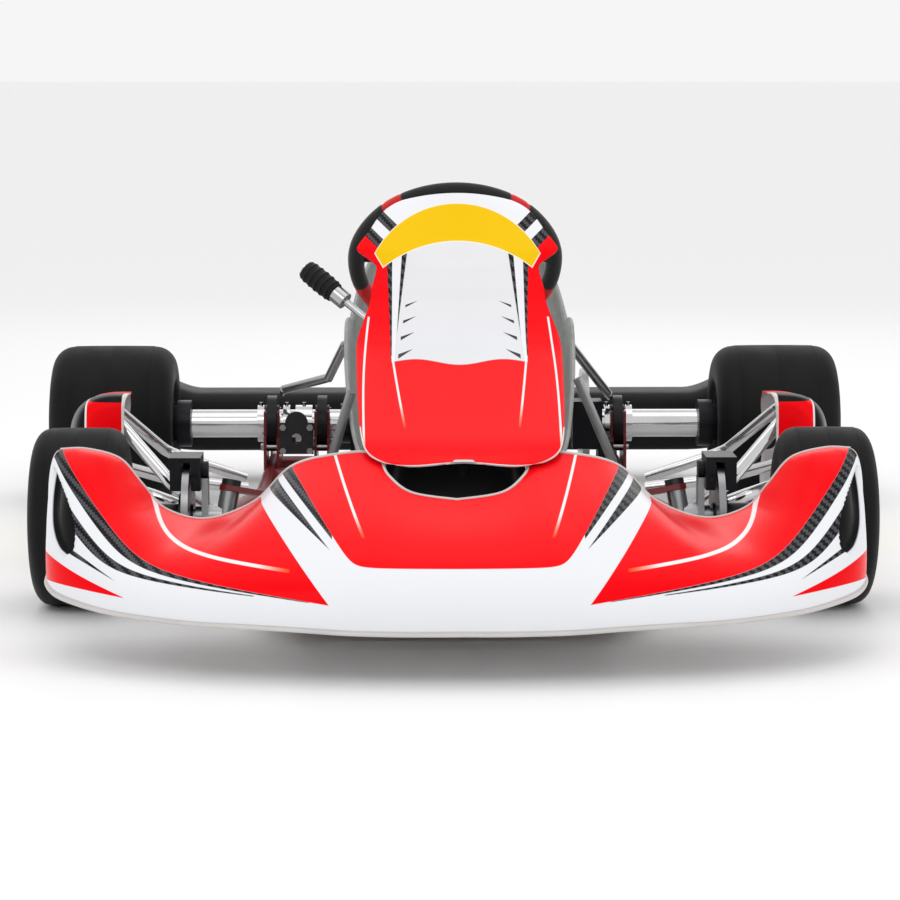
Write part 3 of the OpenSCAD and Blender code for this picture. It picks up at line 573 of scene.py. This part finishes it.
def build_fairing():
    columns, lines = 360, 90
    rows, slots, rims = [], [], []
    for i in range(columns + 1):
        u = -1 + 2 * i / columns
        row, slot_row, rim_row = [], [], []
        for k in range(lines + 1):
            v = k / lines
            x, y, z = fairing_point(u, v)
            up = z * math.cos(DECAL_TILT) + y * math.sin(DECAL_TILT)
            inside = teardrop(abs(x), up)
            x -= math.copysign(0.011 * inside, x) if inside else 0
            y += 0.006 * inside
            row.append((x, y, z))
            slot_row.append(inside)
            rim_row.append(1.0 if v < 0.006 or v > 0.985 or abs(u) > 0.993 else 0.0)
        rows.append(row)
        slots.append(slot_row)
        rims.append(rim_row)
    mesh = grid_mesh("fairing_skin", rows, fields={"slot": slots, "rim": rims})
    skin = add_object("fairing_skin", mesh, "chassis", fairing_paint(), ["front_fairing"])
    thicken(skin, 0.003, back=MATERIALS["body_plastic"])
    edge = [fairing_point(-1 + 2 * i / 240, 0) for i in range(241)]
    lip = [fairing_point(-1 + 2 * i / 240, 1) for i in range(241)]
    pale = MATERIALS["body_plastic"]
    for name, line, radius in (("fairing_rear_bead", edge, 0.0021), ("fairing_lip_bead", lip, 0.0032)):
        add_object(name, round_tube(name, line, radius, 12), "chassis", pale)
    build_scoop()


def build_scoop():
    """The black dished duct that closes the fairing's middle notch under the nassau."""
    rows = []
    for i in range(61):
        x, y, z = fairing_point(-0.27 + 0.54 * i / 60, 0.0)
        row = []
        for k in range(25):
            s = k / 24
            rise = s * s * (3 - 2 * s)
            row.append((x * (1 - 0.25 * s), y + (-0.602 - y) * s + 0.004,
                        z + (0.258 - z) * rise - 0.004 - 0.045 * math.sin(math.pi * s)))
        rows.append(row)
    mesh = grid_mesh("scoop_duct", rows)
    duct = add_object("scoop_duct", mesh, "chassis", MATERIALS["black_plastic"])
    thicken(duct, 0.002)


# ---------------------------------------------------------------- nassau panel

# Height, place along the kart and half width of the panel, from its toe to its top, in mm
NASSAU_ROWS = [(241, -702, 92), (245, -690, 112), (253, -666, 130), (267, -629, 139), (294, -540, 145),
               (340, -395, 150), (375, -300, 150), (420, -240, 134), (448, -214, 129), (466, -198, 124),
               (478, -188, 124), (488, -178, 138), (499, -168, 152), (508, -160, 150), (528, -142, 134),
               (545, -126, 122), (558, -114, 110), (567, -106, 96), (572, -101, 84)]
COLUMN_X = 0.010


def nassau_point(f, t):
    z, y, half = spline(NASSAU_ROWS, f * (len(NASSAU_ROWS) - 1))
    toe = (0.5 + 0.5 * math.cos(math.pi * min(1, abs(t) * 1.15))) * max(0, 1 - f / 0.12)
    crown = 12 * (1 - t * t) * max(0, (f - 0.75) / 0.25)
    return (COLUMN_X + half * t * MM, (y + 16 * toe + 22 * t * t) * MM, (z + 5 * toe + crown) * MM)


# Nassau livery: silver middle panel between banded edges, under a yellow arched band
PANEL_FOOT, PANEL_HALF, PANEL_HEAD = 0.350, 0.100, 0.50
BAND_TOP, BAND_FOOT, BAND_RADIUS = 0.568, 0.514, 0.115
CHEVRON_SLOPE, CHEVRON_WIDTH = 0.9, 0.020


def arch(shader, across, top, radius):
    """Height of a circle's upper arc over the middle of the panel."""
    reach = shader.math("MINIMUM", across, radius * 0.98)
    fall = shader.math("SQRT", shader.math("SUBTRACT", radius ** 2, shader.math("MULTIPLY", reach, reach)))
    return shader.math("ADD", fall, top - radius)


def nassau_paint():
    shader = Shader("nassau_livery", RED, roughness=0.3, shine=0.04)
    x = shader.math("SUBTRACT", shader.axis("X"), COLUMN_X)
    across = shader.math("ABSOLUTE", x)
    z = shader.axis("Z")
    weave = carbon(shader, x, z)
    silver = shader.vary((0.74, 0.745, 0.77), 6, 0.06)
    rise = shader.math("DIVIDE", shader.math("SUBTRACT", z, PANEL_FOOT), PANEL_HEAD - PANEL_FOOT, clamp=True)

    paint = shader.mix(0.0, RED, RED)
    ripple = shader.math("COSINE", shader.math("MULTIPLY", across, 50))
    dip = shader.math("MULTIPLY_ADD", ripple, -0.003, PANEL_FOOT)
    over_foot = shader.above(z, dip)
    outer = shader.math("MULTIPLY_ADD", rise, 0.008, PANEL_HALF)
    white_in = shader.math("MULTIPLY_ADD", rise, -0.010, PANEL_HALF - 0.006)
    carbon_in = shader.math("MULTIPLY_ADD", rise, -0.020, PANEL_HALF - 0.004)
    paint = shader.mix(shader.both(shader.above(outer, across), over_foot), paint, weave)
    paint = shader.mix(shader.both(shader.above(PANEL_HALF - 0.001, across), over_foot), paint, WHITE)
    paint = shader.mix(shader.both(shader.above(white_in, across), over_foot), paint, weave)
    panel = shader.math("MINIMUM", carbon_in, white_in)
    paint = shader.mix(shader.both(shader.above(panel, across), over_foot), paint, silver)
    paint = gills(shader, paint, across, z)
    paint = nassau_pinstripes(shader, paint, across, z)
    paint = yellow_band(shader, paint, across, z, weave)
    paint = shader.mix(shader.above(shader.attribute("rim"), 0.5, 0.2), paint, (0.82, 0.80, 0.80))
    shader.colour(paint)
    shader.rough(0.14, 0.24, 10)
    shader.bump(shader.noise(200, 2), 0.02, 0.0005)
    return shader.material


def yellow_band(shader, paint, across, z, weave):
    """The arched number band, and the slanted bars on the shoulders above it."""
    high = arch(shader, across, BAND_TOP, BAND_RADIUS * 1.25)
    low = arch(shader, across, BAND_FOOT, BAND_RADIUS * 1.6)
    slant = shader.math("SUBTRACT", shader.math("MULTIPLY", across, CHEVRON_SLOPE), z)
    top = shader.mix(0.0, WHITE, WHITE)
    for number, colour in enumerate((weave, WHITE, weave, RED)):
        start = -0.454 + number * CHEVRON_WIDTH
        top = shader.mix(shader.above(slant, start), top, colour)
    paint = shader.mix(shader.above(z, high), paint, top)
    end = shader.math("MULTIPLY_ADD", across, 1.6, 0.296)
    for margin, colour in ((0.0015, (0.86, 0.84, 0.72)), (0.0, YELLOW)):
        inside = shader.both(shader.above(z, shader.math("SUBTRACT", low, margin)),
                             shader.above(shader.math("ADD", high, margin), z),
                             shader.above(z, shader.math("SUBTRACT", end, 2 * margin)))
        paint = shader.mix(inside, paint, colour)
    return paint


def gills(shader, paint, across, z):
    """Four slanted slivers down each side of the silver panel, larger toward the foot."""
    for number in range(4):
        x0, z0 = 0.079 - 0.003 * number, 0.360 + 0.0215 * number
        length, thick = 0.021 - 0.001 * number, 0.0028 - 0.0003 * number
        along = shader.math("SUBTRACT", across, x0)
        middle = shader.math("MULTIPLY_ADD", along, -0.42, z0)
        off = shader.math("ABSOLUTE", shader.math("SUBTRACT", z, middle))
        taper = shader.math("MULTIPLY_ADD", along, thick / length * 0.9, thick / 2)
        mark = shader.both(shader.above(taper, off, 0.0006), shader.between(along, -length / 2, length / 2))
        paint = shader.mix(mark, paint, (0.05, 0.05, 0.055))
    return paint


def nassau_pinstripes(shader, paint, across, z):
    """White lines down the panel's red sides; each is drawn as a place across for a height."""
    for corner, before, after, round_off, head, full, end in (
            ((0.34, 0.1475), 0.12, -0.16, 0.06, 0.405, 0.275, 0.25),
            ((0.326, 0.093), 0.28, 0.20, 0.04, 0.356, 0.306, 0.28)):
        place, slope = shader.bend(z, corner, before, after, round_off)
        line = shader.both(shader.stroke(across, place, slope, 0.0015), shader.above(head, z, 0.002))
        paint = shader.fading_stroke(paint, line, z, full, end)
    return paint


def build_nassau():
    lines, columns = 150, 80
    rows, rims = [], []
    for i in range(lines + 1):
        f = i / lines
        spread = [-1 + 2 * k / columns for k in range(columns + 1)]
        rows.append([nassau_point(f, t) for t in spread])
        rims.append([1.0 if f < 0.008 or (abs(t) > 0.985 and f < 0.2) else 0.0 for t in spread])
    mesh = grid_mesh("nassau_skin", rows, fields={"rim": rims})
    skin = add_object("nassau_skin", mesh, "chassis", nassau_paint(), ["nassau_panel"])
    thicken(skin, 0.003, back=MATERIALS["body_plastic"])


# ---------------------------------------------------------------- tyres

def build_tyre(node):
    """A slick tyre turned to the CAD tyre's own size, with fine mould lines."""
    low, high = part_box(node)
    centre = ((low.x + high.x) / 2, (low.y + high.y) / 2, (low.z + high.z) / 2)
    half, radius = (high.x - low.x) / 2, (high.z - low.z) / 2
    bead, shoulder_x, shoulder_r = 0.0640, half * 0.34, radius * 0.25
    profile = [(-half + 0.012, bead), (-half + 0.006, bead + 0.003), (-half + 0.002, bead + 0.012),
               (-half + 0.0005, bead + 0.022)]
    for k in range(13):
        a = math.pi / 2 * k / 12
        profile.append((-half + shoulder_x * (1 - math.cos(a)) + 0.0005,
                        radius - 0.0015 - shoulder_r * (1 - math.sin(a))))
    profile += [(-half * 0.64, radius - 0.0006), (-half * 0.636, radius - 0.0012),
                (-half * 0.632, radius - 0.0006), (-half * 0.33, radius - 0.0001), (-0.0006, radius),
                (0, radius - 0.0009)]
    profile += [(-x, r) for x, r in reversed(profile[:-1])]
    profile += [(half - 0.022, bead), (half - 0.014, bead + 0.02), (0, radius - 0.012),
                (-half + 0.014, bead + 0.02), (-half + 0.022, bead)]
    mesh = lathe(node + "_slick", profile, centre, 128, closed=True)
    body = next(name for name, parts in frame["record"]["behaviour"]["bodies"].items() if node in parts)
    add_object(node + "_slick", mesh, body, MATERIALS["tyre_rubber"], [node])


# ---------------------------------------------------------------- steering wheel

COLUMN_SLOPE = math.radians(41)
WHEEL_CENTRE = Vector((COLUMN_X, 0.090, 0.465))
RIM_RADIUS, GRIP_RADIUS = 0.158, 0.0138


def wheel_point(radius, angle, height):
    """A point in the wheel's own plane; angle 0 is the top, height is toward the driver."""
    across = Vector((1, 0, 0))
    upward = Vector((0, -math.sin(COLUMN_SLOPE), math.cos(COLUMN_SLOPE)))
    outward = Vector((0, math.cos(COLUMN_SLOPE), math.sin(COLUMN_SLOPE)))
    place = WHEEL_CENTRE + radius * (math.sin(angle) * across + math.cos(angle) * upward) + height * outward
    return tuple(place)


def build_steering_wheel():
    rows, panels = [], []
    steps, sides = 288, 20
    for i in range(steps):
        angle = 2 * math.pi * i / steps
        degrees = abs((math.degrees(angle) + 180) % 360 - 180)
        red = 1.0 if abs(degrees - 37) < 6 or abs(degrees - 115) < 6.5 else 0.0
        seam = 0.0009 if abs(abs(degrees - 37) - 6) < 0.8 or abs(abs(degrees - 115) - 6.5) < 0.8 else 0.0
        thumb = 0.0012 * math.exp(-((degrees - 78) / 12) ** 2)
        ring = []
        for k in range(sides):
            a = 2 * math.pi * k / sides
            r = GRIP_RADIUS - 0.001 + thumb - seam
            ring.append(wheel_point(RIM_RADIUS + r * math.cos(a), angle, 1.03 * r * math.sin(a)))
        rows.append(ring)
        panels.append([red] * sides)
    rows.append(rows[0])
    panels.append(panels[0])
    mesh = grid_mesh("wheel_rim", rows, closed=True, fields={"panel": panels})
    weld(mesh)
    add_object("wheel_rim", mesh, "steering", MATERIALS["wheel_suede"], ["steering_wheel"])
    for number, degrees in enumerate((180, 80, 280)):
        build_spoke("wheel_spoke_%d" % number, math.radians(degrees))
    hub = [(0.0, -0.0215), (0.030, -0.0215), (0.034, -0.017), (0.034, -0.006), (0.028, -0.002), (0.0, -0.002)]
    rows = [[wheel_point(r, 2 * math.pi * k / 64, h) for k in range(64)] for r, h in hub]
    mesh = grid_mesh("wheel_hub", rows, closed=True)
    weld(mesh)
    add_object("wheel_hub", mesh, "steering", MATERIALS["black_alloy"])


def build_spoke(name, angle):
    """A flat spoke, waisted in the middle."""
    rows = []
    for i in range(25):
        f = i / 24
        radius = 0.022 + (RIM_RADIUS - 0.006 - 0.022) * f
        half = 0.0115 + 0.008 * (2 * f - 1) ** 2
        ring = []
        for k in range(20):
            a = 2 * math.pi * k / 20
            side = half * math.copysign(abs(math.cos(a)) ** 0.5, math.cos(a))
            rise = 0.0025 * math.copysign(abs(math.sin(a)) ** 0.5, math.sin(a)) - 0.0055
            ring.append(wheel_point(math.hypot(radius, side), angle + math.atan2(side, radius), rise))
        rows.append(ring)
    mesh = grid_mesh(name, rows, closed=True)
    weld(mesh)
    add_object(name, mesh, "steering", MATERIALS["black_alloy"])


def weld(mesh):
    work = bmesh.new()
    work.from_mesh(mesh)
    bmesh.ops.remove_doubles(work, verts=work.verts, dist=1e-6)
    edges = [e for e in work.edges if e.is_boundary]
    if edges:
        bmesh.ops.holes_fill(work, edges=edges, sides=0)
    bmesh.ops.recalc_face_normals(work, faces=work.faces)
    work.to_mesh(mesh)
    work.free()


# ---------------------------------------------------------------- gear lever grip

def build_grip():
    """A ribbed rubber grip over the end of the gear lever."""
    top, toward = Vector((-0.226, 0, 0.461)), Vector((-0.114, -0.055, 0.374))
    along = (toward - top).normalized()
    points, radii = [], []
    for i in range(97):
        f = i / 96
        points.append(tuple(top - along * 0.001 + along * 0.066 * f))
        body = 0.0158 + 0.0016 * math.sin(math.pi * f)
        rib = 0.0012 * max(0.0, math.cos(2 * math.pi * (f - 0.18) / 0.17)) if 0.15 < f < 0.88 else 0.0
        end = min(1.0, (f + 0.003) / 0.07, (1.003 - f) / 0.04)
        radii.append((body + rib) * math.sqrt(1 - (1 - end) ** 2))
    mesh = round_tube("lever_grip", points, 0.016, 32, radii)
    add_object("lever_grip", mesh, "gear_lever", MATERIALS["hose_rubber"])


# ---------------------------------------------------------------- side pods

# Stations of a pod: y, inner and outer x, top and bottom z, in mm
POD_ROWS = [(-111, 504, 512, 202, 194), (-110, 503, 548, 244, 140), (-102, 502, 566, 264, 100),
            (-72, 500, 586, 272, 78), (50, 508, 606, 260, 50), (240, 524, 612, 242, 46),
            (390, 540, 606, 220, 52), (445, 545, 596, 196, 75), (460, 550, 576, 165, 115)]


# Pod livery: red nose and inner part, black flank and crown, a yellow patch and a white foot
FLANK_X, CROWN_Z, PATCH_X, PATCH_RIM = 0.563, 0.262, 0.585, 0.004


def pod_patch(shader, across, y, z, grow):
    """The yellow patch on the outer flank, or the same grown by a rim."""
    return shader.both(shader.between(y, 0.06 - grow, 0.30 + grow),
                       shader.between(z, 0.085 - grow, 0.215 + grow), shader.above(across, PATCH_X))


def pod_paint():
    shader = Shader("pod_livery", RED, roughness=0.28, shine=0.04)
    across = shader.math("ABSOLUTE", shader.axis("X"))
    y, z = shader.axis("Y"), shader.axis("Z")
    below_crown = shader.above(CROWN_Z, z)
    paint = shader.mix(shader.both(shader.above(FLANK_X, across), below_crown), (0.010, 0.010, 0.011), RED)
    line = shader.both(shader.between(across, FLANK_X - 0.001, FLANK_X + 0.002), below_crown)
    paint = shader.mix(line, paint, WHITE)
    patch, rim = (pod_patch(shader, across, y, z, grow) for grow in (0, PATCH_RIM))
    paint = shader.mix(rim, paint, WHITE)
    paint = shader.mix(patch, paint, YELLOW)
    low = shader.bend(y, (0.0, 0.092), 0.25, 0.0, 0.06)[0]
    paint = shader.mix(shader.above(low, z), paint, WHITE)
    paint = shader.mix(shader.above(0.507, across), paint, (0.78, 0.75, 0.70))
    shader.colour(paint)
    shader.bump(shader.noise(240, 2), 0.02, 0.0005)
    return shader.material


def build_pods(paint):
    for side, name in ((LEFT, "side_pod_left"), (RIGHT, "side_pod_right")):
        rows = []
        for i in range(121):
            row = spline(POD_ROWS, (i / 120) * (len(POD_ROWS) - 1))
            y, inner, outer, top, bottom = row
            ring = []
            for k in range(61):
                a = math.pi * k / 60
                x = inner + (outer - inner) * math.sin(a) ** 0.6 if 0 < k < 60 else inner
                flat = math.copysign(abs(math.cos(a)) ** 0.6, math.cos(a))
                ring.append((side * x * MM, y * MM, ((top + bottom) / 2 + (top - bottom) / 2 * flat) * MM))
            rows.append(ring if side > 0 else list(reversed(ring)))
        mesh = grid_mesh(name + "_skin", rows)
        made = add_object(name + "_skin", mesh, "chassis", paint, [name])
        thicken(made, 0.003, back=MATERIALS["body_plastic"])


# ---------------------------------------------------------------- seat

# Stations of the seat: y and height of its middle, half width, side height, backward lean
SEAT_ROWS = [(150, 98, 150, 40, 0), (185, 62, 165, 90, 0), (260, 36, 172, 165, 0.05),
             (350, 30, 175, 260, 0.1), (425, 42, 172, 330, 0.12), (480, 90, 170, 300, 0.2),
             (515, 180, 176, 205, 0.5), (545, 280, 178, 120, 0.9),
             (575, 390, 160, 60, 1.2), (600, 470, 120, 34, 1.4), (612, 505, 80, 20, 1.4)]
SEAT_X = 22


def seat_point(row, t):
    y, z, half, side, lean = row
    rise = side * abs(t) ** 4
    spread = math.copysign(1 - (1 - abs(t)) ** 1.7, t) * (1 + 0.12 * side / 330 * abs(t) ** 4)
    return ((SEAT_X + half * spread) * MM, (y - lean * rise * 0.55) * MM, (z + rise / (1 + lean)) * MM)


def build_seat():
    stations = [spline(SEAT_ROWS, i / 100 * (len(SEAT_ROWS) - 1)) for i in range(101)]
    rows = [[seat_point(station, -1 + 2 * k / 72) for k in range(73)] for station in stations]
    shell = MATERIALS["seat_fibreglass"]
    mesh = grid_mesh("seat_shell", rows)
    made = add_object("seat_shell", mesh, "chassis", shell, ["seat"])
    thicken(made, 0.004, 1.0)
    left = [row[0] for row in rows]
    right = [row[-1] for row in rows]
    for name, edge in (("seat_edge_right", left), ("seat_edge_left", right), ("seat_edge_front", rows[0]),
                       ("seat_edge_top", rows[-1])):
        add_object(name, round_tube(name, edge, 0.0036, 12), "chassis", shell)


# ---------------------------------------------------------------- rear bumper

def build_rear_bumper():
    """A one-piece moulded bumper: a rounded box section that steps up behind each tyre."""
    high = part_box("rear_bumper")[1]
    rows = []
    half = high.x
    for i in range(161):
        x = -half + 2 * half * i / 160
        out = max(0.0, min(1.0, (abs(x) - 0.455) / 0.16))
        out = out * out * (3 - 2 * out)
        near = max(0.0, (abs(x) - (half - 0.03)) / 0.03)
        shrink = math.sqrt(max(0.0, 1 - near * near)) * 0.98 + 0.02
        bottom, top = 0.060 + 0.015 * out, 0.172 + 0.063 * out
        front, back = high.y - 0.128 + 0.012 * out, high.y - 0.022 * out
        ring = []
        for k in range(36):
            a = 2 * math.pi * k / 36
            c = math.copysign(abs(math.cos(a)) ** 0.36, math.cos(a))
            v = math.copysign(abs(math.sin(a)) ** 0.36, math.sin(a))
            ring.append((x, (front + back) / 2 + (back - front) / 2 * c * shrink,
                         (bottom + top) / 2 + (top - bottom) / 2 * v * shrink))
        rows.append(ring)
    mesh = grid_mesh("bumper_moulding", rows, closed=True)
    weld(mesh)
    black = MATERIALS["black_plastic"]
    add_object("bumper_moulding", mesh, "chassis", black, ["rear_bumper"])


MATERIALS = make_materials()
add_camera()
add_studio()
dress_cad_nodes(MATERIALS)
build_fairing()
build_nassau()
for tyre in ("front_tyre_left", "front_tyre_right", "rear_tyre_left", "rear_tyre_right"):
    build_tyre(tyre)
build_steering_wheel()
build_grip()
build_pods(pod_paint())
build_seat()
build_rear_bumper()
